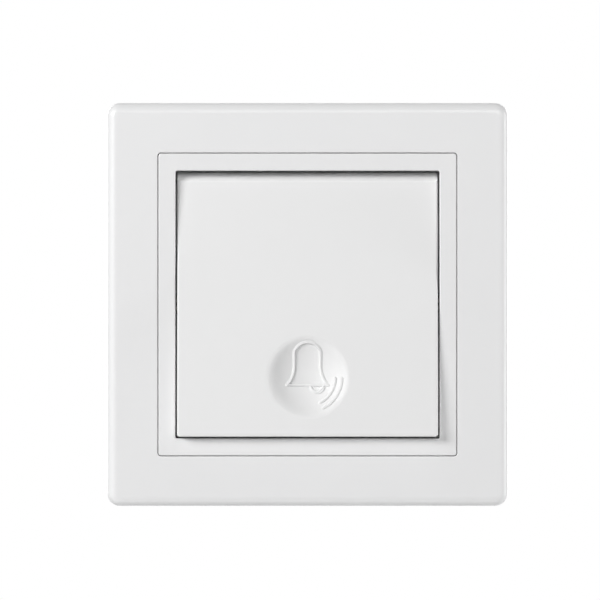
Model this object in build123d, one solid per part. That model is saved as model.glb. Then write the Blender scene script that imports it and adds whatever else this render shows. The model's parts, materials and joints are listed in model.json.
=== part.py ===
from build123d import *
import math
import os

# Flush doorbell push switch for a round 60 mm wall box, in millimetres.
# X is to the right and Z up, seen by someone facing the wall. Y goes into the wall, and y = 0 is the
# wall's surface, so what shows in front of the wall has a negative y. The origin is the middle of the
# support plate's back face, halfway between the two box screw slots.

# Shared by many pieces: how far a cut runs past its face, and how deep an added form is rooted
overrun = 1.0
rooting = 0.2
press_fit = 0.02

# Cover frame
frame_width = 82.0
frame_height = 82.4
frame_depth = 9.5
frame_wall = 1.8
frame_corner = 2.9
frame_edge_round = 2.0
frame_draft = 1.5
rib_thickness = 1.2
rib_pitch = 24.0

# Opening in the cover frame, which the surround fills
module_corner = 0.7
seam = 0.15
ledge = 1.5
ledge_thickness = 1.6
inner_skirt = 3.2
seam_round = 0.2

# Surround, whose skirt stands clear of the mechanism cover
cover_side_room = 3.85
cover_end_room = 4.22
flange_side = 3.45
flange_end = 3.48
flange_thickness = 1.5
key_opening_corner = 0.4
surround_wall = 1.5
surround_skirt = 6.9
dust_lip_reach = 1.1
dust_lip_thickness = 0.7
opening_round = 0.25
hook_width = 6.0
hook_span = 28.0
hook_thickness = 1.2
hook_barb = 0.7
hook_barb_length = 1.5

# Rocker key, drawn square to its own face and then tilted about the pivot
rest_tilt = 4.2
press_angle = 3.8
pivot_below_face = 3.3
key_proud = 0.4
key_side_gap = 0.38
key_bottom_gap = 0.39
key_top_gap = 0.34
key_wall = 1.6
key_skirt = 4.2
key_end_draft = 5.0
key_corner = 0.6
key_edge_round = 0.4
bevel_width = 1.72
bevel_depth = 2.5
clip_x = 9.0
clip_z = 7.0
clip_width = 4.8
clip_thickness = 1.2
clip_barb = 0.5
clip_barb_flat = 0.3
clip_barb_lead = 0.55
clip_play = 0.15
key_rib = 1.0
key_rib_x = 20.0
key_rib_height = 1.5
seat_rib_length = 24.0
seat_rib_offset = 3.5

# Finger dish with the raised bell, drawn about the dish's middle
dish_radius = 8.17
dish_depth = 2.3
dish_margin = 3.56
dish_floor = 1.0
dish_boss_margin = 1.2
dish_round = 1.5
relief_height = 0.2
relief_stroke = 0.4
bell_top = 7.4
bell_shoulder = 5.4
bell_knee = 2.1
bell_base = -1.68
bell_rim = 0.4
bell_waist = 2.86
bell_flare = 4.32
bell_belly_share = 0.3
clapper_x = 1.95
clapper_radius = 1.5
wave_count = 2
wave_radius = 5.6
wave_step = 1.33
wave_start = -1.0
wave_sweep = 62.0

# Cradle that carries the key
cradle_width = 28.0
cradle_length = 35.0
cradle_thickness = 1.6
cradle_gap = 0.2
cradle_corner = 1.5
cradle_rib = 1.0
cradle_rib_share = 0.8
cradle_pocket_width = 5.6
cradle_pocket_length = 5.8
cradle_pocket_z = 11.9
cradle_pocket_depth = 0.6
cradle_pocket_corner = 0.8
pin_radius = 1.0
pin_reach = 3.4
running_clearance = 0.06
nose_radius = 1.2
nose_width = 4.0
touch_gap = 0.1

# Support plate
plate_size = 70.0
plate_thickness = 1.0
plate_corner = 6.0
opening_inset = 3.0
opening_corner = 7.0
lip_length = 48.0
lip_height = 2.0
fold_round = 0.9
box_screw_spacing = 60.0
slot_width = 4.2
slot_length = 7.0
hook_slot_corner = 0.3
arc_slot_start = 17.0
arc_slot_sweep = 16.0

# Mechanism cover
cover_margin = 1.0
cover_thickness = 2.0
cover_corner = 2.0
spigot_wall = 1.5
spigot_depth = 2.5
spigot_clearance = 0.2
tower_thickness = 3.0
tower_width = 6.0
tower_side_gap = 0.3
tower_mouth = 1.7
stop_pad = 3.0
stop_gap = 0.05

# Mechanism base
base_size = 44.0
base_depth = 20.0
base_corner = 2.5
base_back_round = 1.2
claw_groove = 0.8
base_floor = 1.8
base_rib = 2.0
base_pillar = 4.7
recess_depth = 2.6
contact_floor = 7.1
chamber_reach = 4.2
chamber_wall = 1.8
chamber_corner = 1.0
pocket_wall = 0.3

# Plunger and contacts
head_width = 6.0
head_height = 5.0
head_front = -2.6
head_corner = 0.6
guide_clearance = 0.2
retainer_width = 8.0
retainer_height = 6.6
retainer_thickness = 1.4
retainer_gap = 0.5
plunger_stem = 4.0
bridge_y = 3.0
bridge_length = 15.0
bridge_width = 4.0
bridge_thickness = 0.6
bridge_corner = 1.0
rivet_x = 5.5
rivet_radius = 1.2
rivet_height = 0.7
rivet_bevel = 0.3
stub_radius = 1.0
stub_length = 1.4
contact_clearance = 0.04
strip_thickness = 0.8
strip_width = 5.0
strip_start = 3.8
strip_corner = 0.8

# Return spring
spring_radius = 2.0
spring_wire = 0.5
spring_turns = 6.0
spring_floor = 16.0
spring_pocket_clearance = 0.45
spring_end_gap = 0.02
spring_wire_sides = 8

# Terminals
terminal_size = 7.2
terminal_back = 19.0
terminal_bevel = 0.5
terminal_window = 6.0
window_corner = 0.5
window_funnel = 0.6
wire_bore_radius = 2.2
wire_bore_depth = 9.0
terminal_screw_y = 14.5
terminal_screw_radius = 1.5
terminal_head_radius = 2.4
terminal_head_height = 1.9
terminal_head_gap = 1.7
terminal_head_bevel = 0.3
driver_slot_width = 0.8
driver_slot_depth = 0.9
terminal_tip_gap = 0.15

# Cover screws, and what they share with the claw screws
screw_head_round = 0.6
recess_arm_ratio = 3.5
cover_screw_inset = 2.7
cover_screw_radius = 1.1
cover_screw_length = 10.0
cover_head_radius = 2.1
cover_head_height = 1.4
cover_recess_span = 2.4
cover_recess_depth = 0.9

# Expanding claws
claw_side_gap = 1.0
claw_screw_reach = 2.5
claw_screw_radius = 1.5
claw_screw_length = 14.0
claw_head_radius = 2.3
claw_head_height = 1.9
claw_head_clearance = 0.4
claw_screw_point = 0.4
claw_recess_span = 3.0
claw_recess_depth = 1.1
claw_thickness = 1.2
claw_width = 9.0
claw_arm = 6.4
claw_leg = 20.0
claw_swing = 20.0
claw_rest_lean = 11.0
claw_hole_play = 1.0
claw_slot_width = 3.8
claw_slot_length = 13.5
claw_foot = 2.4
claw_teeth = 3
claw_tooth_share = 0.7
claw_gap = 0.05

# What follows from them
face_y = -frame_depth
key_face_y = face_y - key_proud
pivot_y = key_face_y + pivot_below_face
tilt = math.radians(rest_tilt)
cover_size = base_size + 2 * cover_margin
key_opening_width = cover_size + 2 * cover_side_room
key_opening_height = cover_size + 2 * cover_end_room
surround_width = key_opening_width + 2 * flange_side
surround_height = key_opening_height + 2 * flange_end
module_width = surround_width + 2 * seam
module_height = surround_height + 2 * seam
front = -pivot_below_face
skirt_end = front + key_skirt
key_width = key_opening_width - 2 * key_side_gap
key_bottom = (key_opening_height / 2 - key_bottom_gap + pivot_below_face * math.sin(tilt)) / math.cos(tilt)
bevel_inner = front + bevel_depth
key_top = (key_opening_height / 2 - key_top_gap + bevel_inner * math.sin(tilt)) / math.cos(tilt)
face_top = key_top - bevel_width - bevel_depth * math.tan(tilt)
bottom_draft = math.tan(math.radians(key_end_draft))
dish_drop = key_opening_height / 2 - key_bottom_gap - dish_margin - dish_radius
cradle_back = cradle_gap + cradle_thickness
plate_front = -plate_thickness
plate_opening = base_size - 2 * opening_inset
cover_front = plate_front - cover_thickness
surround_skirt_end = face_y + surround_skirt
spigot_inside = plate_opening / 2 - spigot_clearance - spigot_wall
plunger_z = retainer_height / 2 + retainer_gap - spigot_inside
press_travel = -plunger_z * math.radians(press_angle)
bridge_back = bridge_y + bridge_thickness
moving_tip = bridge_back + rivet_height
fixed_tip = moving_tip + press_travel + contact_clearance
strip_front = contact_floor - strip_thickness
chamber_half = plate_opening / 2 - pocket_wall
chamber_top = plunger_z + chamber_reach
upper_floor = chamber_top + chamber_wall
terminal_x = chamber_half - guide_clearance - terminal_size / 2
terminal_low = plunger_z - terminal_size / 2
cover_screw_offset = base_size / 2 - cover_screw_inset
claw_hinge_x = base_size / 2 + claw_side_gap
claw_screw_x = claw_hinge_x + claw_screw_reach
tower_x = cradle_width / 2 + tower_side_gap + tower_thickness / 2


def facing(x=0.0, y=0.0, z=0.0):
    """Sketch plane square to the wall at a point, with its normal towards the room."""
    return Plane(origin=(x, y, z), x_dir=(1, 0, 0), z_dir=(0, -1, 0))


def slab(width, height, y_front, y_back, corner=0.0, x=0.0, z=0.0):
    """Block with rounded corners between two depths."""
    outline = RectangleRounded(width, height, corner) if corner else Rectangle(width, height)
    return extrude(facing(x, y_back, z) * outline, amount=y_back - y_front)


def rod(radius, y_front, y_back, x=0.0, z=0.0):
    """Round bar square to the wall between two depths."""
    return extrude(facing(x, y_back, z) * Circle(radius), amount=y_back - y_front)


def bar_along_x(radius, x_from, x_to, y=0.0, z=0.0):
    """Round bar from left to right."""
    return extrude(Plane(origin=(x_from, y, z), z_dir=(1, 0, 0)) * Circle(radius), amount=x_to - x_from)


def bar_along_z(radius, z_from, z_to, x=0.0, y=0.0):
    """Round bar from low to high."""
    return extrude(Plane(origin=(x, y, z_from), z_dir=(0, 0, 1)) * Circle(radius), amount=z_to - z_from)


def side_profile(points, width, x=0.0):
    """Closed outline of (y, z) points, drawn from the side and spread evenly to left and right of x."""
    plane = Plane(origin=(x - width / 2, 0, 0), x_dir=(0, 1, 0), z_dir=(1, 0, 0))
    return extrude(plane * make_face(Polyline(*points, close=True)), amount=width)


def front_face(body):
    """The flat face nearest the room."""
    return body.faces().sort_by(Axis.Y)[0]


def at_rest(shape):
    """Puts a piece that was drawn about the pivot in its place, tilted as it rests."""
    return Pos(0, pivot_y, 0) * Rot(-rest_tilt, 0, 0) * shape


def mirrored(shape):
    """Left-hand twin of a right-hand piece."""
    return mirror(shape, about=Plane.YZ)


def make_cover_frame():
    rim = facing() * RectangleRounded(frame_width, frame_height, frame_corner)
    body = extrude(rim, amount=frame_depth, taper=frame_draft)
    body = fillet(body.faces().sort_by(Axis.Y)[0].edges(), frame_edge_round)
    wall_inside = frame_width - 2 * frame_wall
    height_inside = frame_height - 2 * frame_wall
    ledge_width = module_width - 2 * ledge
    ledge_height = module_height - 2 * ledge
    ledge_front = face_y + flange_thickness
    ledge_back = ledge_front + ledge_thickness
    skirt_back = ledge_front + inner_skirt
    front_inside = face_y + frame_wall
    hollow = slab(wall_inside, height_inside, front_inside, 0, frame_corner - frame_wall / 2)
    hollow -= slab(
        module_width + 2 * ledge_thickness, module_height + 2 * ledge_thickness, front_inside, ledge_back
    )
    hollow -= slab(
        ledge_width + 2 * ledge_thickness, ledge_height + 2 * ledge_thickness, ledge_back, skirt_back
    )
    hollow -= frame_ribs(front_inside, skirt_back)
    body -= hollow
    body -= slab(ledge_width, ledge_height, face_y - overrun, overrun, module_corner)
    body -= slab(module_width, module_height, face_y - overrun, ledge_front, module_corner)
    return fillet(front_face(body).inner_wires()[0].edges(), seam_round)


def frame_ribs(y_front, y_back):
    """Stiffening ribs across the hollow behind each bar of the frame."""
    ribs = Part()
    for step in (-1, 0, 1):
        place = step * rib_pitch
        ribs += slab(rib_thickness, frame_height, y_front, y_back, x=place)
        ribs += slab(frame_width, rib_thickness, y_front, y_back, z=place)
    return ribs - slab(module_width, module_height, y_front - overrun, y_back + overrun)


def make_surround():
    flange_back = face_y + flange_thickness
    body = slab(surround_width, surround_height, face_y, flange_back, module_corner - seam)
    skirt_width = key_opening_width + 2 * surround_wall
    skirt_height = key_opening_height + 2 * surround_wall
    body += slab(skirt_width, skirt_height, flange_back, surround_skirt_end, module_corner)
    lip_front = surround_skirt_end - dust_lip_thickness
    body -= slab(key_opening_width, key_opening_height, face_y - overrun, lip_front, key_opening_corner)
    body -= slab(
        key_opening_width - 2 * dust_lip_reach,
        key_opening_height - 2 * dust_lip_reach,
        lip_front - overrun,
        surround_skirt_end + overrun,
        key_opening_corner,
    )
    body = fillet(front_face(body).inner_wires()[0].edges(), opening_round)
    body = fillet(front_face(body).outer_wire().edges(), seam_round)
    hook_z = skirt_height / 2 - hook_thickness
    notch_radius = claw_head_radius + claw_head_clearance
    notch_front = plate_front - claw_head_height - claw_head_clearance
    for side in (1, -1):
        body -= rod(notch_radius, notch_front, surround_skirt_end + overrun, side * claw_screw_x)
        for x in (-hook_span / 2, hook_span / 2):
            outline = [
                (surround_skirt_end - overrun, side * hook_z),
                (surround_skirt_end - overrun, side * (hook_z + hook_thickness)),
                (claw_gap, side * (hook_z + hook_thickness)),
                (claw_gap, side * (hook_z + hook_thickness + hook_barb)),
                (hook_barb_length, side * (hook_z + hook_thickness)),
                (hook_barb_length, side * hook_z),
            ]
            body += side_profile(outline, hook_width, x)
    return body


def make_key():
    outer = [
        (front, -key_bottom),
        (front, face_top),
        (bevel_inner, key_top),
        (skirt_end, key_top),
        (skirt_end, -key_bottom + key_skirt * bottom_draft),
    ]
    body = side_profile(outer, key_width)
    uprights = body.edges().filter_by(lambda e: abs(e.tangent_at(0.5).X) < 0.01)
    corners = [e for e in uprights if abs(e.tangent_at(0.5).Y) > 0.9 and e.center().Z < 0]
    body = fillet(corners, key_corner)
    body = fillet(body.faces().sort_by(Axis.Y)[0].edges(), key_edge_round)
    inside = front + key_wall
    inner = [
        (inside, -key_bottom + key_wall * (1 + bottom_draft)),
        (inside, face_top - key_wall * (1 - bevel_width / bevel_depth)),
        (bevel_inner, key_top - key_wall),
        (skirt_end + overrun, key_top - key_wall),
        (skirt_end + overrun, -key_bottom + key_wall + (key_skirt + overrun) * bottom_draft),
    ]
    body -= side_profile(inner, key_width - 2 * key_wall)
    boss_back = front + dish_depth + dish_floor
    body += rod(dish_radius + dish_boss_margin, inside - rooting, boss_back, z=-dish_drop)
    for side in (1, -1):
        body += stiffening_rib(side * key_rib_x, inside)
        for z in (side * (clip_z - seat_rib_offset), side * (clip_z + seat_rib_offset)):
            body += slab(seat_rib_length, key_rib, inside - rooting, cradle_gap, z=z)
        for x in (-clip_x, clip_x):
            body += key_clip(x, side)
    return at_rest(cut_dish(body))


def stiffening_rib(x, inside):
    """Upright rib inside the key, from its top wall to its bottom wall."""
    low = -key_bottom + key_wall
    high = key_top - key_wall
    return slab(key_rib, high - low, inside - rooting, inside + key_rib_height, x=x, z=(high + low) / 2)


def cut_dish(body):
    """Hollows the finger dish and leaves the bell standing in it."""
    sphere_radius = (dish_radius**2 + dish_depth**2) / (2 * dish_depth)
    centre = Pos(0, front + dish_depth - sphere_radius, -dish_drop)
    body -= centre * Sphere(sphere_radius)
    circles = front_face(body).inner_wires()[0].edges()
    body = fillet(circles, dish_round)
    root = front + dish_depth + dish_floor / 2
    for stroke in bell_drawing():
        stamp = extrude(facing(0, root, -dish_drop) * stroke, amount=root - front)
        body += stamp - centre * Sphere(sphere_radius - relief_height)
    return body


def bell_drawing():
    """Bell outline, clapper and two sound waves, as strokes about the dish's middle."""
    dome = ThreePointArc((-bell_waist, bell_shoulder), (0, bell_top), (bell_waist, bell_shoulder))
    edges = [dome, Line((-bell_flare, bell_base), (bell_flare, bell_base))]
    rim = bell_base + bell_rim
    belly = bell_waist + (bell_flare - bell_waist) * bell_belly_share
    for side in (1, -1):
        waist = side * bell_waist
        flare = side * bell_flare
        edges.append(Line((waist, bell_shoulder), (waist, bell_knee)))
        edges.append(ThreePointArc((waist, bell_knee), (side * belly, (bell_knee + rim) / 2), (flare, rim)))
        edges.append(Line((flare, rim), (flare, bell_base)))
    bell = make_face(Wire(edges))
    strokes = [bell - offset(bell, -relief_stroke, kind=Kind.INTERSECTION)]
    ring = Circle(clapper_radius) - Circle(clapper_radius - relief_stroke)
    below = Pos(0, -clapper_radius / 2) * Rectangle(2 * clapper_radius, clapper_radius)
    strokes.append(Pos(clapper_x, bell_base) * (ring & below))
    for n in range(wave_count):
        path = CenterArc((0, 0), wave_radius + n * wave_step, wave_start, -wave_sweep)
        strokes.append(SlotArc(path, relief_stroke))
    return strokes


def key_clip(x, side):
    """Springy finger that reaches through the cradle and hooks behind it."""
    outer = side * (clip_z + clip_thickness / 2)
    inner = side * (clip_z - clip_thickness / 2)
    root = front + key_wall - rooting
    hook = cradle_back + stop_gap
    lead = hook + clip_barb_flat
    tip = lead + clip_barb_lead
    outline = [
        (root, inner),
        (root, outer),
        (hook, outer),
        (hook, outer + side * clip_barb),
        (lead, outer + side * clip_barb),
        (tip, (outer + inner) / 2),
        (tip, inner),
    ]
    return side_profile(outline, clip_width, x)


def make_cradle():
    body = slab(cradle_width, cradle_length, cradle_gap, cradle_back, cradle_corner)
    for side in (1, -1):
        rib_x = side * (cradle_width - cradle_rib) / 2
        rib_length = cradle_length * cradle_rib_share
        body += slab(cradle_rib, rib_length, cradle_gap - cradle_rib, cradle_gap, x=rib_x)
    reach = cradle_width / 2 + pin_reach
    body += bar_along_x(pin_radius, -reach, reach)
    window = clip_width + 2 * clip_play, clip_thickness + 2 * clip_play
    for x in (-clip_x, clip_x):
        for z in (-clip_z, clip_z):
            body -= slab(*window, cradle_gap - overrun, cradle_back + overrun, x=x, z=z)
    nose_tip = (head_front - touch_gap - pivot_y - plunger_z * math.sin(tilt)) / math.cos(tilt)
    nose_centre = nose_tip - nose_radius
    body += slab(nose_width, 2 * nose_radius, cradle_back - rooting, nose_centre, z=plunger_z)
    body += bar_along_x(nose_radius, -nose_width / 2, nose_width / 2, nose_centre, plunger_z)
    for x in (-cradle_width / 4, cradle_width / 4):
        body -= slab(
            cradle_pocket_width,
            cradle_pocket_length,
            cradle_gap - overrun,
            cradle_gap + cradle_pocket_depth,
            cradle_pocket_corner,
            x,
            cradle_pocket_z,
        )
    return at_rest(body)


def make_mechanism_cover():
    body = slab(cover_size, cover_size, cover_front, plate_front, cover_corner)
    spigot = plate_opening - 2 * spigot_clearance
    spigot_corner = opening_corner - spigot_clearance
    hole = spigot - 2 * spigot_wall
    spigot_back = plate_front + spigot_depth
    ring = slab(spigot, spigot, plate_front, spigot_back, spigot_corner)
    ring -= slab(hole, hole, plate_front - overrun, spigot_back + overrun, spigot_corner - spigot_wall)
    body += ring
    body -= slab(
        head_width + 2 * guide_clearance,
        head_height + 2 * guide_clearance,
        cover_front - overrun,
        plate_front + overrun,
        z=plunger_z,
    )
    for side in (1, -1):
        body += bearing_tower(side)
        screw = side * cover_screw_offset
        screw_hole = cover_screw_radius + guide_clearance
        body -= rod(screw_hole, cover_front - overrun, plate_front + overrun, screw, screw)
        body += stop_pads(side)
    return body


def bearing_tower(side):
    """Post with an open-fronted bearing that the cradle's pin snaps into."""
    bore = pin_radius + running_clearance
    lip = pivot_y - pin_radius
    tower = slab(tower_thickness, tower_width, lip, cover_front, x=side * tower_x)
    tower = chamfer(tower.faces().sort_by(Axis.Y)[0].edges().filter_by(Axis.X), pin_radius)
    ends = side * tower_x - tower_thickness, side * tower_x + tower_thickness
    tower -= bar_along_x(bore, *ends, pivot_y)
    tower -= slab(2 * tower_thickness, tower_mouth, lip - overrun, pivot_y, x=side * tower_x)
    return tower


def stop_pads(side):
    """Two pads that end the cradle's swing: the upper pair at rest, the lower pair when pressed."""
    reach = side * (cradle_length / 2 - stop_pad / 2)
    angle = tilt if side > 0 else tilt - math.radians(press_angle)
    edge = abs(reach) + side * stop_pad / 2
    end = pivot_y + cradle_back * math.cos(angle) + side * edge * math.sin(angle)
    pads = Part()
    for x in (-cradle_width / 3, cradle_width / 3):
        pads += slab(stop_pad, stop_pad, end + stop_gap, cover_front, x=x, z=reach)
    return pads


def make_support_plate():
    body = slab(plate_size, plate_size, plate_front, 0, plate_corner)
    for side in (1, -1):
        lip = slab(plate_thickness, lip_length, plate_front - lip_height, 0)
        lip = fillet(lip.edges().filter_by(Axis.X).group_by(Axis.Y)[0], lip_height)
        body += Pos(side * (plate_size - plate_thickness) / 2, 0, 0) * lip
    upright = body.edges().filter_by(Axis.Z)
    folds = [e for e in upright if abs(e.center().Y) < stop_gap and e.length > lip_length / 2]
    body = fillet(folds, fold_round)
    through = plate_front - overrun, overrun
    body -= slab(plate_opening, plate_opening, *through, opening_corner)
    hook_z = key_opening_height / 2 + surround_wall - hook_thickness / 2
    for side in (1, -1):
        body -= rod(claw_screw_radius + guide_clearance, *through, side * claw_screw_x)
        screw = side * cover_screw_offset
        body -= rod(cover_screw_radius + guide_clearance, *through, screw, screw)
        slot = SlotOverall(slot_length, slot_width, rotation=90)
        place = facing(0, overrun, side * box_screw_spacing / 2)
        body -= extrude(place * slot, amount=plate_thickness + 2 * overrun)
        for x in (-hook_span / 2, hook_span / 2):
            height = hook_thickness + hook_barb + guide_clearance
            z = side * (hook_z + height / 2 - hook_thickness / 2 - guide_clearance / 2)
            body -= slab(hook_width + 2 * guide_clearance, height, *through, hook_slot_corner, x, z)
        for up in (1, -1):
            body -= levelling_slot(side, up)
    return body


def levelling_slot(side, up):
    """Curved slot on the box screws' circle, which lets a tilted box be levelled."""
    middle = 90 - side * 90 + side * up * (arc_slot_start + arc_slot_sweep / 2)
    path = CenterArc((0, 0), box_screw_spacing / 2, middle - arc_slot_sweep / 2, arc_slot_sweep)
    return extrude(facing(0, overrun, 0) * SlotArc(path, slot_width), amount=plate_thickness + 2 * overrun)


def make_mechanism_base():
    body = slab(base_size, base_size, 0, base_depth, base_corner)
    body = fillet(body.faces().sort_by(Axis.Y)[-1].edges(), base_back_round)
    body -= slab(plate_opening, plate_opening, -overrun, recess_depth, opening_corner)
    width = 2 * chamber_half
    height = chamber_half + chamber_top
    body -= slab(width, height, 0, contact_floor, chamber_corner, z=(chamber_top - chamber_half) / 2)
    room = (width - base_rib) / 2
    for side in (1, -1):
        tall = slab(
            room,
            chamber_half - upper_floor,
            0,
            base_depth - base_floor,
            2 * chamber_corner,
            side * (room + base_rib) / 2,
            (chamber_half + upper_floor) / 2,
        )
        body -= tall - rod(base_pillar, 0, base_depth, cover_screw_offset, cover_screw_offset)
        x = side * terminal_x
        pocket = terminal_size + 2 * guide_clearance
        body -= slab(pocket, pocket, 0, terminal_back, x=x, z=plunger_z)
        body -= slab(
            terminal_window, terminal_window, 0, base_depth + overrun, window_corner, x, plunger_z
        )
        body -= wire_funnel(x)
        groove = claw_width + 2 * guide_clearance
        side_x = side * base_size / 2
        body -= slab(2 * claw_groove, groove, -overrun, base_depth - base_floor, x=side_x)
        body -= bar_along_z(
            terminal_head_radius + guide_clearance,
            -base_size / 2 - overrun,
            terminal_low,
            x,
            terminal_screw_y,
        )
        screw = side * cover_screw_offset
        body -= rod(cover_screw_radius + press_fit, -overrun, cover_screw_length, screw, screw)
    pocket_radius = spring_radius + spring_wire / 2 + spring_pocket_clearance
    return body - rod(pocket_radius, 0, spring_floor, z=plunger_z)


def wire_funnel(x):
    """Sloped mouth that leads a wire into the window behind its terminal."""
    window = RectangleRounded(terminal_window, terminal_window, window_corner)
    mouth = facing(x, base_depth, plunger_z) * window
    return extrude(offset(mouth, window_funnel), amount=window_funnel, taper=45)


def make_plunger():
    retainer_front = plate_front + touch_gap
    retainer_back = retainer_front + retainer_thickness
    body = slab(head_width, head_height, head_front, retainer_front, head_corner, z=plunger_z)
    body += slab(
        retainer_width, retainer_height, retainer_front, retainer_back, head_corner, z=plunger_z
    )
    body += slab(plunger_stem, plunger_stem, retainer_back, bridge_y, z=plunger_z)
    body += rod(stub_radius, bridge_y, bridge_back + stub_length, z=plunger_z)
    return body


def make_bridge():
    body = slab(bridge_length, bridge_width, bridge_y, bridge_back, bridge_corner, z=plunger_z)
    return body - rod(stub_radius + press_fit, bridge_y - overrun, bridge_back + overrun, z=plunger_z)


def contact_button(y_flat, y_tip, x):
    """Contact button with a bevelled face towards y_tip."""
    bevel = min(rivet_bevel, abs(y_tip - y_flat) / 2)
    low, high = min(y_flat, y_tip), max(y_flat, y_tip)
    button = rod(rivet_radius, low, high, x, plunger_z)
    face = button.faces().sort_by(Axis.Y)[-1 if y_tip > y_flat else 0]
    return chamfer(face.edges(), bevel)


def make_bridge_rivets():
    return Compound([contact_button(bridge_back, moving_tip, x) for x in (-rivet_x, rivet_x)])


def make_fixed_contact():
    """Right-hand contact strip, from under the bridge to the front of its terminal."""
    end = terminal_x + terminal_size / 2
    middle = (strip_start + end) / 2
    length = end - strip_start
    return slab(length, strip_width, strip_front, contact_floor, strip_corner, middle, plunger_z)


def make_fixed_rivet():
    return contact_button(strip_front, fixed_tip, rivet_x)


def make_terminal():
    """Right-hand brass pillar terminal, wired from behind and clamped from below."""
    body = slab(terminal_size, terminal_size, contact_floor, terminal_back, x=terminal_x, z=plunger_z)
    body = chamfer(body.edges().filter_by(Axis.Y), terminal_bevel)
    bore_floor = terminal_back - wire_bore_depth
    body -= rod(wire_bore_radius, bore_floor, terminal_back + overrun, terminal_x, plunger_z)
    low = terminal_low - overrun
    return body - bar_along_z(terminal_screw_radius, low, plunger_z, terminal_x, terminal_screw_y)


def make_terminal_screw():
    head_top = terminal_low - terminal_head_gap
    head_low = head_top - terminal_head_height
    tip = plunger_z - wire_bore_radius - terminal_tip_gap
    body = bar_along_z(terminal_head_radius, head_low, head_top, terminal_x, terminal_screw_y)
    body = chamfer(body.faces().sort_by(Axis.Z)[0].edges(), terminal_head_bevel)
    body += bar_along_z(terminal_screw_radius, head_top, tip, terminal_x, terminal_screw_y)
    slot = Box(2 * terminal_head_radius + overrun, driver_slot_width, 2 * driver_slot_depth)
    return body - Pos(terminal_x, terminal_screw_y, head_low) * slot


def cross_recess(x, y_face, z, span, depth):
    """Cross-head recess in a screw's front face."""
    arm = Box(span, 2 * depth, span / recess_arm_ratio)
    return Pos(x, y_face, z) * (arm + Rot(0, 90, 0) * arm)


def make_cover_screw(side):
    place = side * cover_screw_offset
    head_front_y = cover_front - cover_head_height
    body = rod(cover_head_radius, head_front_y, cover_front, place, place)
    body = fillet(front_face(body).edges(), screw_head_round)
    body += rod(cover_screw_radius, cover_front, cover_front + cover_screw_length, place, place)
    return body - cross_recess(place, head_front_y, place, cover_recess_span, cover_recess_depth)


def make_claw_screw():
    head_front_y = plate_front - claw_head_height
    body = rod(claw_head_radius, head_front_y, plate_front, claw_screw_x)
    body = fillet(front_face(body).edges(), screw_head_round)
    body += rod(claw_screw_radius, plate_front, plate_front + claw_screw_length, claw_screw_x)
    body = chamfer(body.faces().sort_by(Axis.Y)[-1].edges(), claw_screw_point)
    return body - cross_recess(claw_screw_x, head_front_y, 0, claw_recess_span, claw_recess_depth)


def make_claw():
    """Right-hand claw, drawn fully spread and then swung in to rest beside the base."""
    half = claw_thickness / 2
    lean = math.radians(claw_swing - claw_rest_lean)
    hinge_y = claw_gap + half
    knee = (claw_hinge_x + claw_arm, hinge_y)
    ankle = (knee[0] + claw_leg * math.sin(lean), knee[1] + claw_leg * math.cos(lean))
    toe = (ankle[0] + claw_foot, ankle[1])
    middle = Polyline((claw_hinge_x, hinge_y), knee, ankle, toe)
    outline = offset(middle, half, kind=Kind.ARC)
    body = extrude(Plane.XY.offset(-claw_width / 2) * make_face(outline), amount=claw_width)
    reach = 2 * claw_screw_radius + claw_hole_play
    through = 3 * claw_thickness
    body -= Pos(claw_screw_x, hinge_y, 0) * Box(reach, through, claw_slot_width)
    slot = Pos(0, claw_slot_length / 2 + claw_thickness, 0) * Box(through, claw_slot_length, claw_slot_width)
    body -= Pos(*knee, 0) * Rot(0, 0, -math.degrees(lean)) * slot
    tooth = claw_width / claw_teeth
    notch_side = tooth * claw_tooth_share
    for n in range(claw_teeth + 1):
        notch = extrude(Rectangle(notch_side, notch_side, rotation=45), amount=through)
        place = Pos(toe[0] + half, toe[1] - through / 2, n * tooth - claw_width / 2)
        body -= place * Rot(-90, 0, 0) * notch
    return body.rotate(Axis((claw_hinge_x, hinge_y, 0), (0, 0, 1)), claw_swing)


def make_spring():
    start = bridge_back + spring_wire / 2 + spring_end_gap
    length = spring_floor - bridge_back - spring_wire - 2 * spring_end_gap
    path = Helix(length / spring_turns, length, spring_radius)
    wire = Plane(origin=path @ 0, z_dir=path % 0) * RegularPolygon(spring_wire / 2, spring_wire_sides)
    coil = sweep(wire, path=path, is_frenet=True)
    return Pos(0, start, plunger_z) * Rot(-90, 0, 0) * coil


def write_parts():
    os.makedirs("parts", exist_ok=True)
    claw = make_claw()
    claw_screw = make_claw_screw()
    contact = make_fixed_contact()
    rivet = make_fixed_rivet()
    terminal = make_terminal()
    terminal_screw = make_terminal_screw()
    nodes = {
        "cover_frame": make_cover_frame(),
        "rocker_surround": make_surround(),
        "rocker_key": make_key(),
        "rocker_cradle": make_cradle(),
        "mechanism_cover": make_mechanism_cover(),
        "mechanism_base": make_mechanism_base(),
        "support_plate": make_support_plate(),
        "contact_plunger": make_plunger(),
        "contact_bridge": make_bridge(),
        "bridge_contacts": make_bridge_rivets(),
        "return_spring": make_spring(),
        "cover_screw_upper": make_cover_screw(1),
        "cover_screw_lower": make_cover_screw(-1),
        "fixed_contact_right": contact,
        "fixed_contact_left": mirrored(contact),
        "fixed_button_right": rivet,
        "fixed_button_left": mirrored(rivet),
        "terminal_right": terminal,
        "terminal_left": mirrored(terminal),
        "terminal_screw_right": terminal_screw,
        "terminal_screw_left": mirrored(terminal_screw),
        "claw_right": claw,
        "claw_left": mirrored(claw),
        "claw_screw_right": claw_screw,
        "claw_screw_left": mirrored(claw_screw),
    }
    for name, shape in nodes.items():
        export_step(shape, f"parts/{name}.step")


write_parts()
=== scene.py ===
"""Looks of a flush doorbell push switch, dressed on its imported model.

The scene is in metres. The switch's own sizes are in mm, and MM brings them into the scene.
"""

import json
import math

import bmesh
import bpy
from mathutils import Matrix, Vector

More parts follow.
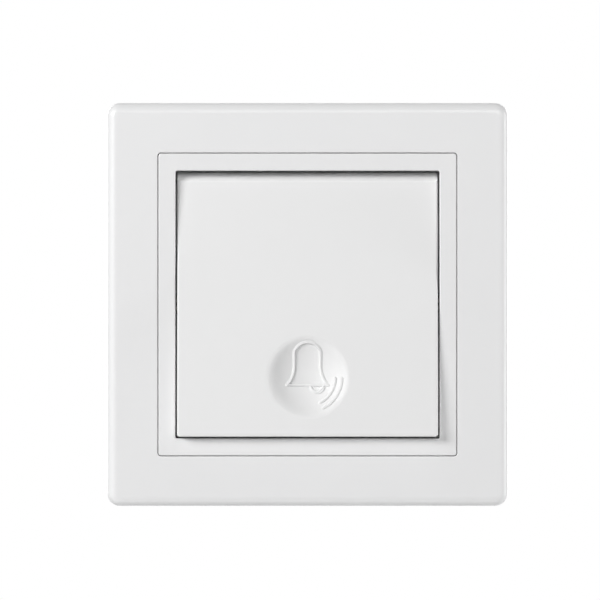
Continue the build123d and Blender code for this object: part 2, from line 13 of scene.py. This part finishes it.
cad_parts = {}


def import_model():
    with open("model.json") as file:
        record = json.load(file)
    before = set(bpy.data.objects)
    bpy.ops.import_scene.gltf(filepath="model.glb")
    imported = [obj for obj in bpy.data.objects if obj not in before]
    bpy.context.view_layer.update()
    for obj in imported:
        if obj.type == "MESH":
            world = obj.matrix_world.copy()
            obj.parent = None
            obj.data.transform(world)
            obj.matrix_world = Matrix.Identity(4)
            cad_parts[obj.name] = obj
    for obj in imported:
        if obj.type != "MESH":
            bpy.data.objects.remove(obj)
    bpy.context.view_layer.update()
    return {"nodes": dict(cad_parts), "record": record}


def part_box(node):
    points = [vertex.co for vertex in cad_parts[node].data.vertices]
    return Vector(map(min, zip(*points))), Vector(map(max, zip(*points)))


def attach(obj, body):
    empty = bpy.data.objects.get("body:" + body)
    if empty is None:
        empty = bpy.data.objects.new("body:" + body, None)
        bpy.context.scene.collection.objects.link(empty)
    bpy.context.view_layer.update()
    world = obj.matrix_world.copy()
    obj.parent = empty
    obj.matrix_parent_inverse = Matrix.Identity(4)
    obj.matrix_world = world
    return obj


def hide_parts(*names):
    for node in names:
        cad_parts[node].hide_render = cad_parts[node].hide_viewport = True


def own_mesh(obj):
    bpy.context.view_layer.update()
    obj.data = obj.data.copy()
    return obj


MM = 0.001

# Camera, set from the photograph's framing
PICTURE_PIXELS = 600
PIXELS_PER_MM = 4.921
OBJECT_PIXEL_X = 307.5
OBJECT_PIXEL_Y = 304.5
CAMERA_DISTANCE = 1.0
CAMERA_NEAR = 0.01
CAMERA_FAR = 20.0
SENSOR_WIDTH = 36.0

# Light
WORLD_LEVEL = 0.03
SEEN_LEVEL = 1.0
KEY_POWER = 10.2
FRONT_POWER = 3.4
RIGHT_STRIP_POWER = 3.9
LOWER_PANEL_POWER = 0.4
BACK_POWER = 3.2

# Floor
FLOOR_Z = -0.6
FLOOR_RADIUS = 1.15
FLOOR_SIDES = 96
FLOOR_ROUGHNESS = 0.9
FLOOR_GLOW = 0.62

# Colours, as linear values
PURE_WHITE = (1.0, 1.0, 1.0, 1.0)
FLOOR_WHITE = (0.82, 0.82, 0.82, 1.0)
WHITE_PLASTIC = (0.80, 0.80, 0.803, 1.0)
KEY_PLASTIC = (0.80, 0.80, 0.80, 1.0)
INNER_WHITE = (0.66, 0.66, 0.63, 1.0)
BASE_CREAM = (0.62, 0.61, 0.57, 1.0)
CRADLE_GREY = (0.42, 0.43, 0.44, 1.0)
PLUNGER_BLACK = (0.02, 0.02, 0.022, 1.0)
ZINC = (0.62, 0.64, 0.66, 1.0)
SCREW_ZINC = (0.66, 0.64, 0.58, 1.0)
SPRING_STEEL = (0.5, 0.5, 0.52, 1.0)
BRASS = (0.78, 0.56, 0.24, 1.0)
BRONZE = (0.66, 0.38, 0.2, 1.0)
SILVER = (0.86, 0.86, 0.84, 1.0)

# Moulded plastic: clouds per metre, and the shares that colour and roughness wander between
CLOUD_SCALE = 60.0
CLOUD_DETAIL = 3.0
CLOUD_TINTS = (0.985, 1.01)
CLOUD_GLOSSES = (0.9, 1.1)
GRAIN_DETAIL = 2.0

# Plated and drawn metal: dull patches with the same kind of shares, and fine streaks
PATCH_MM = 3.0
PATCH_DETAIL = 5.0
PATCH_TINTS = (0.78, 1.08)
PATCH_GLOSSES = (0.75, 1.3)
STREAK_SCALE = 2600.0
STREAK_DETAIL = 4.0
STREAK_DEPTH = 0.004
NO_STRETCH = (1.0, 1.0, 1.0)

# Rocker key, finger dish and raised bell, about the dish's middle
KEY_PIVOT_Y = -6.6
KEY_FRONT = -3.3
KEY_TILT = 4.2
DISH_RADIUS = 8.17
DISH_DEPTH = 2.3
DISH_Z = -15.1
RIDGE_HALF_WIDTH = 0.36
RIDGE_HEIGHT = 0.29
RIDGE_ROOT = 0.08
RIDGE_CROWN = 1.4
RIDGE_SIDES = 10
RIDGE_END_STEPS = 6
BELL_WAIST = 2.66
BELL_FLARE = 4.12
BELL_BELLY = 3.1
BELL_BELLY_DROP = 0.1
BELL_TOP = 7.2
BELL_SHOULDER = 5.3
BELL_KNEE = 2.1
BELL_BASE = -1.48
BELL_SIDE_STEPS = 22
BELL_WALL_STEPS = 12
BELL_DOME_STEPS = 30
BELL_RIM_STEPS = 40
CLAPPER_X = 1.95
CLAPPER_RADIUS = 1.3
CLAPPER_STEPS = 24
WAVE_RADII = (5.6, 6.93)
WAVE_START = -1.0
WAVE_END = -63.0
WAVE_STEPS = 40
MERGE_DISTANCE = 0.0005

# Return spring
SPRING_Z = -13.5
SPRING_FRONT = 3.62
SPRING_BACK = 15.98
SPRING_RADIUS = 2.0
SPRING_WIRE_RADIUS = 0.25
SPRING_TURNS = 7.5
SPRING_CLOSED_TURNS = 1.0
SPRING_STEPS = 300
SPRING_WIRE_SIDES = 12

# Claw screws
CLAW_SCREW_X = 25.5
CLAW_HEAD_FRONT = -2.9
CLAW_HEAD_BACK = -1.0
CLAW_HEAD_RADIUS = 2.3
CLAW_HEAD_ROUND = 0.6
CLAW_HEAD_CHAMFER = 0.08
CLAW_HEAD_STEPS = 6
CLAW_THREAD_RADIUS = 1.49
CLAW_THREAD_DEPTH = 0.3
CLAW_THREAD_PITCH = 0.7
CLAW_THREAD_STEEPNESS = 2.6
CLAW_THREAD_STEPS = 8
CLAW_SCREW_END = 13.0
CLAW_SCREW_POINT = 0.4
CLAW_SCREW_SIDES = 36
CLAW_SCREW_SHARP_ANGLE = 40.0
RECESS_SPAN = 3.0
RECESS_WIDTH = 0.85
RECESS_DEPTH = 1.1
RECESS_OVERRUN = 1.0
RECESS_MOUTH_SHARE = 1.1
RECESS_KNEE = 0.75
RECESS_KNEE_SHARE = 0.72
RECESS_FLOOR_SHARE = 0.3


def node(tree, kind, **values):
    """Adds a shader node and sets its unlinked inputs by name."""
    made = tree.nodes.new(kind)
    for name, value in values.items():
        made.inputs[name.replace("_", " ")].default_value = value
    return made


def start_material(name):
    """Empty material with its tree and main shader."""
    material = bpy.data.materials.new(name)
    material.use_nodes = True
    tree = material.node_tree
    return material, tree, tree.nodes["Principled BSDF"]


def object_coordinates(tree):
    """Places on the piece itself, which move with it."""
    return tree.nodes.new("ShaderNodeTexCoord").outputs["Object"]


def noise(tree, where, scale, detail):
    """Soft noise over the surface, as a factor."""
    made = node(tree, "ShaderNodeTexNoise", Scale=scale, Detail=detail)
    tree.links.new(where, made.inputs["Vector"])
    return made.outputs["Fac"]


def colour_between(tree, factor, dark, light):
    """Blends two colours by a factor."""
    mix = tree.nodes.new("ShaderNodeMix")
    mix.data_type = "RGBA"
    tree.links.new(factor, mix.inputs["Factor"])
    mix.inputs["A"].default_value = dark
    mix.inputs["B"].default_value = light
    return mix.outputs["Result"]


def span(tree, factor, low, high):
    """Maps a factor onto low to high."""
    ramp = node(tree, "ShaderNodeMapRange", To_Min=low, To_Max=high)
    tree.links.new(factor, ramp.inputs["Value"])
    return ramp.outputs["Result"]


def shaded(colour, share):
    """The colour made darker or lighter by a share."""
    return tuple(c * share for c in colour[:3]) + (1.0,)


def vary(tree, shader, factor, colour, tints, roughness, glosses):
    """Lets the colour and the roughness wander between shares of themselves."""
    dark, light = (shaded(colour, share) for share in tints)
    tree.links.new(colour_between(tree, factor, dark, light), shader.inputs["Base Color"])
    low, high = (roughness * share for share in glosses)
    tree.links.new(span(tree, factor, low, high), shader.inputs["Roughness"])


def emboss(tree, shader, factor, depth_mm):
    """Fine relief from a factor."""
    bump = node(tree, "ShaderNodeBump", Strength=1.0, Distance=depth_mm * MM)
    tree.links.new(factor, bump.inputs["Height"])
    tree.links.new(bump.outputs["Normal"], shader.inputs["Normal"])


def moulded_plastic(name, colour, roughness, grain_mm, depth_mm):
    """Moulded plastic: faint cloudiness, a fine spark-eroded grain and uneven gloss."""
    material, tree, shader = start_material(name)
    where = object_coordinates(tree)
    cloud = noise(tree, where, CLOUD_SCALE, CLOUD_DETAIL)
    vary(tree, shader, cloud, colour, CLOUD_TINTS, roughness, CLOUD_GLOSSES)
    grain = noise(tree, where, 1 / (grain_mm * MM), GRAIN_DETAIL)
    emboss(tree, shader, grain, depth_mm)
    return material


def plated_metal(name, colour, roughness, patch_mm=PATCH_MM, stretch=NO_STRETCH):
    """Plated or drawn metal: streaks along one direction and dull patches."""
    material, tree, shader = start_material(name)
    where = object_coordinates(tree)
    patch = noise(tree, where, 1 / (patch_mm * MM), PATCH_DETAIL)
    vary(tree, shader, patch, colour, PATCH_TINTS, roughness, PATCH_GLOSSES)
    stretched = node(tree, "ShaderNodeMapping", Scale=stretch)
    tree.links.new(where, stretched.inputs["Vector"])
    streaks = noise(tree, stretched.outputs["Vector"], STREAK_SCALE, STREAK_DETAIL)
    emboss(tree, shader, streaks, STREAK_DEPTH)
    shader.inputs["Metallic"].default_value = 1.0
    return material


def make_materials():
    """All the finishes, by the record's slot names."""
    plastics = {
        "frame_white": {"colour": WHITE_PLASTIC, "roughness": 0.3, "grain_mm": 0.5, "depth_mm": 0.0012},
        "key_white": {"colour": KEY_PLASTIC, "roughness": 0.55, "grain_mm": 0.35, "depth_mm": 0.0015},
        "cradle_grey": {"colour": CRADLE_GREY, "roughness": 0.45, "grain_mm": 0.4, "depth_mm": 0.003},
        "cover_white": {"colour": INNER_WHITE, "roughness": 0.48, "grain_mm": 0.4, "depth_mm": 0.003},
        "base_white": {"colour": BASE_CREAM, "roughness": 0.55, "grain_mm": 0.3, "depth_mm": 0.005},
        "plunger_black": {"colour": PLUNGER_BLACK, "roughness": 0.4, "grain_mm": 0.3, "depth_mm": 0.003},
    }
    metals = {
        "zinc_steel": {"colour": ZINC, "roughness": 0.34, "stretch": (1.0, 1.0, 0.12)},
        "screw_steel": {"colour": SCREW_ZINC, "roughness": 0.28, "patch_mm": 1.2},
        "spring_steel": {"colour": SPRING_STEEL, "roughness": 0.25, "patch_mm": 0.8},
        "brass": {"colour": BRASS, "roughness": 0.3, "patch_mm": 1.5},
        "contact_bronze": {"colour": BRONZE, "roughness": 0.3, "stretch": (0.15, 1.0, 1.0)},
        "silver_button": {"colour": SILVER, "roughness": 0.2, "patch_mm": 0.7},
    }
    materials = {slot: moulded_plastic(slot, **look) for slot, look in plastics.items()}
    materials.update({slot: plated_metal(slot, **look) for slot, look in metals.items()})
    return materials


def dress_nodes(frame, materials):
    """Gives every CAD node the finish of its slot."""
    slots = {s["node"]: s["material_slot"] for s in frame["record"]["subparts"]}
    for name, piece in frame["nodes"].items():
        piece.data.materials.clear()
        piece.data.materials.append(materials[slots[name]])


def new_piece(name, made, material):
    """Object from a bmesh, smoothly shaded, in the scene."""
    bmesh.ops.recalc_face_normals(made, faces=made.faces)
    mesh = bpy.data.meshes.new(name)
    made.to_mesh(mesh)
    made.free()
    mesh.shade_smooth()
    piece = bpy.data.objects.new(name, mesh)
    piece.data.materials.append(material)
    bpy.context.scene.collection.objects.link(piece)
    return piece


def skin_strips(made, rows):
    """Joins neighbouring rows of vertices with faces."""
    for one, two in zip(rows, rows[1:]):
        for i in range(len(one) - 1):
            made.faces.new((one[i], one[i + 1], two[i + 1], two[i]))


def skin_tube(made, rings):
    """Joins neighbouring rings of vertices with faces and closes both ends."""
    skin_strips(made, [ring + ring[:1] for ring in rings])
    made.faces.new(rings[0])
    made.faces.new(rings[-1])


def arc_points(centre, radius, start, end, steps):
    """Points on an arc, with angles in degrees."""
    points = []
    for i in range(steps + 1):
        angle = math.radians(start + (end - start) * i / steps)
        points.append((centre[0] + radius * math.cos(angle), centre[1] + radius * math.sin(angle)))
    return points


def arc_through(first, middle, last, steps):
    """Points on the arc through three points."""
    (ax, ay), (bx, by), (cx, cy) = first, middle, last
    twice = 2 * (ax * (by - cy) + bx * (cy - ay) + cx * (ay - by))
    a2, b2, c2 = ax * ax + ay * ay, bx * bx + by * by, cx * cx + cy * cy
    x = (a2 * (by - cy) + b2 * (cy - ay) + c2 * (ay - by)) / twice
    y = (a2 * (cx - bx) + b2 * (ax - cx) + c2 * (bx - ax)) / twice
    angles = [math.degrees(math.atan2(p[1] - y, p[0] - x)) for p in (first, middle, last)]
    if not min(angles[0], angles[2]) <= angles[1] <= max(angles[0], angles[2]):
        angles = [a % 360 for a in angles]
    return arc_points((x, y), math.hypot(ax - x, ay - y), angles[0], angles[2], steps)


def line_points(first, last, steps):
    """Evenly spaced points on a line."""
    return [tuple(a + (b - a) * i / steps for a, b in zip(first, last)) for i in range(steps + 1)]


def bell_strokes():
    """Middle lines of the bell's outline, its rim, the clapper and two sound waves."""
    flare = (-BELL_FLARE, BELL_BASE)
    belly = (-BELL_BELLY, (BELL_KNEE + BELL_BASE) / 2 - BELL_BELLY_DROP)
    knee = (-BELL_WAIST, BELL_KNEE)
    shoulder = (-BELL_WAIST, BELL_SHOULDER)
    left_side = arc_through(flare, belly, knee, BELL_SIDE_STEPS)
    left_side += line_points(knee, shoulder, BELL_WALL_STEPS)[1:]
    dome = arc_through(shoulder, (0, BELL_TOP), (BELL_WAIST, BELL_SHOULDER), BELL_DOME_STEPS)
    right_side = [(-x, z) for x, z in reversed(left_side)]
    outline = left_side + dome[1:-1] + right_side
    rim = line_points(flare, (BELL_FLARE, BELL_BASE), BELL_RIM_STEPS)
    clapper = arc_points((CLAPPER_X, BELL_BASE), CLAPPER_RADIUS, 180, 360, CLAPPER_STEPS)
    waves = [arc_points((0, 0), radius, WAVE_START, WAVE_END, WAVE_STEPS) for radius in WAVE_RADII]
    return [outline, rim, clapper, *waves]


def key_place():
    """Where the key's own drawing stands at rest."""
    tilt = Matrix.Rotation(math.radians(-KEY_TILT), 4, "X")
    return Matrix.Diagonal((MM, MM, MM, 1.0)) @ Matrix.Translation((0, KEY_PIVOT_Y, 0)) @ tilt


def ridge_sections(stroke):
    """Points along a ridge with its share of the full size there, which rounds off both ends."""
    points = [Vector(p) for p in stroke]
    to_start = (points[0] - points[1]).normalized() * RIDGE_HALF_WIDTH
    to_end = (points[-1] - points[-2]).normalized() * RIDGE_HALF_WIDTH
    turns = [math.pi / 2 * i / RIDGE_END_STEPS for i in range(RIDGE_END_STEPS + 1)]
    start = [(points[0] + to_start * math.cos(turn), math.sin(turn)) for turn in turns[:-1]]
    end = [(points[-1] + to_end * math.sin(turn), math.cos(turn)) for turn in turns[1:]]
    return start + [(point, 1.0) for point in points] + end


def add_ridge(made, stroke):
    """Lays one rounded ridge on the dish's hollow, which is part of a ball."""
    ball_radius = (DISH_RADIUS**2 + DISH_DEPTH**2) / (2 * DISH_DEPTH)
    centre = Vector((0, KEY_FRONT + DISH_DEPTH - ball_radius, DISH_Z))
    place = key_place()
    sections = ridge_sections(stroke)
    rows = []
    for i, (point, share) in enumerate(sections):
        along = sections[min(i + 1, len(sections) - 1)][0] - sections[max(i - 1, 0)][0]
        depth = math.sqrt(ball_radius**2 - point.length_squared)
        foot = Vector((point.x, centre.y + depth, DISH_Z + point.y))
        up = (centre - foot).normalized()
        across = up.cross(Vector((along.x, 0, along.y))).normalized()
        row = []
        for k in range(RIDGE_SIDES + 1):
            angle = math.pi * k / RIDGE_SIDES
            rise = math.sin(angle) ** RIDGE_CROWN * (RIDGE_HEIGHT + RIDGE_ROOT) * share - RIDGE_ROOT
            spot = foot + across * (math.cos(angle) * RIDGE_HALF_WIDTH * share) + up * rise
            row.append(made.verts.new(place @ spot))
        rows.append(row)
    skin_strips(made, rows)


def make_bell_relief(material):
    """Raised bell with soft edges, over the plain one."""
    made = bmesh.new()
    for stroke in bell_strokes():
        add_ridge(made, stroke)
    bmesh.ops.remove_doubles(made, verts=made.verts, dist=MERGE_DISTANCE * MM)
    piece = new_piece("bell_relief", made, material)
    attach(piece, "rocker")


def spring_rise(turn):
    """How far the wire has risen from the front end after some turns, and its rise per turn there."""
    length = SPRING_BACK - SPRING_FRONT
    closed_pitch = 2 * SPRING_WIRE_RADIUS
    closed_rise = closed_pitch * SPRING_CLOSED_TURNS
    open_pitch = (length - 2 * closed_rise) / (SPRING_TURNS - 2 * SPRING_CLOSED_TURNS)
    if turn < SPRING_CLOSED_TURNS:
        return closed_pitch * turn, closed_pitch
    if turn > SPRING_TURNS - SPRING_CLOSED_TURNS:
        return length - closed_pitch * (SPRING_TURNS - turn), closed_pitch
    return closed_rise + open_pitch * (turn - SPRING_CLOSED_TURNS), open_pitch


def spring_ring(made, turn):
    """Ring of vertices round the wire after some turns, ground flat at the spring's ends."""
    rise, pitch = spring_rise(turn)
    angle = 2 * math.pi * turn
    radial = Vector((math.cos(angle), 0, math.sin(angle)))
    middle = Vector((0, SPRING_FRONT + rise, SPRING_Z)) + radial * SPRING_RADIUS
    lead = pitch / (2 * math.pi * SPRING_RADIUS)
    along = Vector((-math.sin(angle), lead, math.cos(angle))).normalized()
    side = along.cross(radial).normalized()
    ring = []
    for k in range(SPRING_WIRE_SIDES):
        spin = 2 * math.pi * k / SPRING_WIRE_SIDES
        spot = middle + (radial * math.cos(spin) + side * math.sin(spin)) * SPRING_WIRE_RADIUS
        spot.y = min(max(spot.y, SPRING_FRONT), SPRING_BACK)
        ring.append(made.verts.new(spot * MM))
    return ring


def make_return_spring(material):
    """Round-wire compression spring with closed ends, which rides on the plunger."""
    made = bmesh.new()
    skin_tube(made, [spring_ring(made, SPRING_TURNS * i / SPRING_STEPS) for i in range(SPRING_STEPS + 1)])
    piece = new_piece("return_spring_wire", made, material)
    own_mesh(piece)
    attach(piece, "plunger")
    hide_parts("return_spring")


def screw_rows():
    """Rows of the claw screw from its head to its point: depth, radius and share of the thread."""
    rows = []
    for i in range(CLAW_HEAD_STEPS + 1):
        angle = math.pi / 2 * i / CLAW_HEAD_STEPS
        depth = CLAW_HEAD_FRONT + CLAW_HEAD_ROUND * (1 - math.cos(angle))
        rows.append((depth, CLAW_HEAD_RADIUS - CLAW_HEAD_ROUND * (1 - math.sin(angle)), 0.0))
    rows.append((CLAW_HEAD_BACK - CLAW_HEAD_CHAMFER, CLAW_HEAD_RADIUS, 0.0))
    rows.append((CLAW_HEAD_BACK, CLAW_HEAD_RADIUS - CLAW_HEAD_CHAMFER, 0.0))
    length = CLAW_SCREW_END - CLAW_SCREW_POINT - CLAW_HEAD_BACK
    steps = round(length / CLAW_THREAD_PITCH * CLAW_THREAD_STEPS)
    for i in range(steps + 1):
        along = length * i / steps
        rows.append((CLAW_HEAD_BACK + along, CLAW_THREAD_RADIUS, min(1.0, along / CLAW_THREAD_PITCH)))
    rows.append((CLAW_SCREW_END, CLAW_THREAD_RADIUS - CLAW_SCREW_POINT, 0.0))
    return rows


def screw_ring(made, depth, radius, thread):
    """Ring of vertices round the screw, cut in by the thread's groove."""
    ring = []
    for k in range(CLAW_SCREW_SIDES):
        phase = (depth / CLAW_THREAD_PITCH - k / CLAW_SCREW_SIDES) % 1.0
        crest = min(1.0, CLAW_THREAD_STEEPNESS * min(phase, 1 - phase))
        reach = radius - CLAW_THREAD_DEPTH * thread * (1 - crest)
        angle = 2 * math.pi * k / CLAW_SCREW_SIDES
        spot = Vector((reach * math.cos(angle), depth, reach * math.sin(angle)))
        ring.append(made.verts.new(spot * MM))
    return ring


def recess_ring(made, depth, share):
    """Cross-shaped ring of vertices, at a depth below the screw's head."""
    half, arm = RECESS_SPAN / 2, RECESS_WIDTH / 2
    ring = []
    for quarter in range(4):
        turn = Matrix.Rotation(quarter * math.pi / 2, 2)
        for corner in ((half, arm), (arm, arm), (arm, half)):
            x, z = turn @ Vector(corner) * share
            ring.append(made.verts.new(Vector((x, CLAW_HEAD_FRONT + depth, z)) * MM))
    return ring


def recess_cutter():
    """Tapered cross that cuts the driver recess."""
    made = bmesh.new()
    rings = [
        recess_ring(made, -RECESS_OVERRUN, RECESS_MOUTH_SHARE),
        recess_ring(made, 0.0, 1.0),
        recess_ring(made, RECESS_DEPTH * RECESS_KNEE, RECESS_KNEE_SHARE),
        recess_ring(made, RECESS_DEPTH, RECESS_FLOOR_SHARE),
    ]
    skin_tube(made, rings)
    bmesh.ops.recalc_face_normals(made, faces=made.faces)
    mesh = bpy.data.meshes.new("recess_cutter")
    made.to_mesh(mesh)
    made.free()
    return bpy.data.objects.new("recess_cutter", mesh)


def cut_recess(piece):
    """Cuts the driver recess into the screw's head."""
    cutter = recess_cutter()
    bpy.context.scene.collection.objects.link(cutter)
    cut = piece.modifiers.new("recess", "BOOLEAN")
    cut.object = cutter
    cut.solver = "EXACT"
    bpy.context.view_layer.update()
    cut_piece = piece.evaluated_get(bpy.context.evaluated_depsgraph_get())
    mesh = bpy.data.meshes.new_from_object(cut_piece)
    piece.modifiers.clear()
    piece.data = mesh
    bpy.data.objects.remove(cutter)


def make_claw_screw(side, word, material):
    """Threaded claw screw with a driver recess."""
    made = bmesh.new()
    skin_tube(made, [screw_ring(made, *row) for row in screw_rows()])
    piece = new_piece(f"claw_screw_{word}_threaded", made, material)
    cut_recess(piece)
    piece.data.transform(Matrix.Translation((side * CLAW_SCREW_X * MM, 0, 0)))
    piece.data.set_sharp_from_angle(angle=math.radians(CLAW_SCREW_SHARP_ANGLE))
    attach(piece, f"{word}_claw_screw")
    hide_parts(f"claw_screw_{word}")


def panel_light(name, place, width, height, power):
    """Rectangular soft light that looks at the switch's middle."""
    data = bpy.data.lights.new(name, "AREA")
    data.shape = "RECTANGLE"
    data.size = width
    data.size_y = height
    data.energy = power
    lamp = bpy.data.objects.new(name, data)
    lamp.location = place
    lamp.rotation_mode = "QUATERNION"
    lamp.rotation_quaternion = (-Vector(place)).to_track_quat("-Z", "Y")
    lamp.visible_camera = False
    bpy.context.scene.collection.objects.link(lamp)


def light_scene():
    """A key from the left, a panel in front and above, an edge strip, a low fill and two behind."""
    panel_light("key", (-0.79, -0.66, 0.38), width=0.5, height=0.4, power=KEY_POWER)
    panel_light("front", (0.24, -0.99, 0.4), width=0.5, height=0.4, power=FRONT_POWER)
    panel_light("right_strip", (0.8, -0.035, 0.0), width=0.05, height=0.7, power=RIGHT_STRIP_POWER)
    panel_light("lower", (0.0, -0.26, -0.5), width=0.6, height=0.1, power=LOWER_PANEL_POWER)
    panel_light("back_left", (-0.5, 1.05, 0.12), width=0.5, height=0.5, power=BACK_POWER)
    panel_light("back_right", (0.4, 1.1, 0.0), width=0.5, height=0.5, power=BACK_POWER)


def seen_ray(tree):
    """1 for camera, glossy and transmission rays."""
    path = tree.nodes.new("ShaderNodeLightPath")
    total = path.outputs["Is Camera Ray"]
    for name in ("Is Glossy Ray", "Is Transmission Ray"):
        add = tree.nodes.new("ShaderNodeMath")
        add.use_clamp = True
        tree.links.new(total, add.inputs[0])
        tree.links.new(path.outputs[name], add.inputs[1])
        total = add.outputs["Value"]
    return total


def white_world():
    """Even white surroundings: pure white to the camera and in mirror images, weaker as light."""
    world = bpy.data.worlds.new("studio")
    bpy.context.scene.world = world
    world.use_nodes = True
    tree = world.node_tree
    tree.nodes.clear()
    out = tree.nodes.new("ShaderNodeOutputWorld")
    lit = node(tree, "ShaderNodeBackground", Color=PURE_WHITE, Strength=WORLD_LEVEL)
    seen = node(tree, "ShaderNodeBackground", Color=PURE_WHITE, Strength=SEEN_LEVEL)
    mix = tree.nodes.new("ShaderNodeMixShader")
    tree.links.new(seen_ray(tree), mix.inputs["Fac"])
    tree.links.new(lit.outputs["Background"], mix.inputs[1])
    tree.links.new(seen.outputs["Background"], mix.inputs[2])
    tree.links.new(mix.outputs["Shader"], out.inputs["Surface"])


def make_floor():
    """Pale round floor below the switch that fades into the white surroundings and keeps its shadow."""
    material, tree, shader = start_material("floor_white")
    shader.inputs["Base Color"].default_value = FLOOR_WHITE
    shader.inputs["Roughness"].default_value = FLOOR_ROUGHNESS
    shader.inputs["Emission Color"].default_value = PURE_WHITE
    glow = tree.nodes.new("ShaderNodeMath")
    glow.operation = "MULTIPLY"
    tree.links.new(seen_ray(tree), glow.inputs[0])
    glow.inputs[1].default_value = FLOOR_GLOW
    tree.links.new(glow.outputs["Value"], shader.inputs["Emission Strength"])
    made = bmesh.new()
    bmesh.ops.create_circle(made, cap_ends=True, segments=FLOOR_SIDES, radius=FLOOR_RADIUS)
    floor = new_piece("floor", made, material)
    floor.location.z = FLOOR_Z


def place_camera(front_y):
    """Straight in front of the switch, a little left of and above its middle, as in the photograph."""
    half = PICTURE_PIXELS / 2
    x = (half - OBJECT_PIXEL_X) / PIXELS_PER_MM * MM
    z = (OBJECT_PIXEL_Y - half) / PIXELS_PER_MM * MM
    view_width = PICTURE_PIXELS / PIXELS_PER_MM * MM
    data = bpy.data.cameras.new("camera")
    data.sensor_width = SENSOR_WIDTH
    data.lens = SENSOR_WIDTH * CAMERA_DISTANCE / view_width
    data.clip_start = CAMERA_NEAR
    data.clip_end = CAMERA_FAR
    camera = bpy.data.objects.new("camera", data)
    camera.location = (x, front_y - CAMERA_DISTANCE, z)
    camera.rotation_euler = (math.pi / 2, 0.0, 0.0)
    bpy.context.scene.collection.objects.link(camera)
    bpy.context.scene.camera = camera


def main():
    """Lights and dresses the switch and adds its fine pieces."""
    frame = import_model()
    bpy.context.scene.view_settings.view_transform = "Standard"
    place_camera(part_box("cover_frame")[0].y)
    white_world()
    light_scene()
    make_floor()
    materials = make_materials()
    dress_nodes(frame, materials)
    make_bell_relief(materials["key_white"])
    make_return_spring(materials["spring_steel"])
    for side, word in ((1, "right"), (-1, "left")):
        make_claw_screw(side, word, materials["screw_steel"])


main()
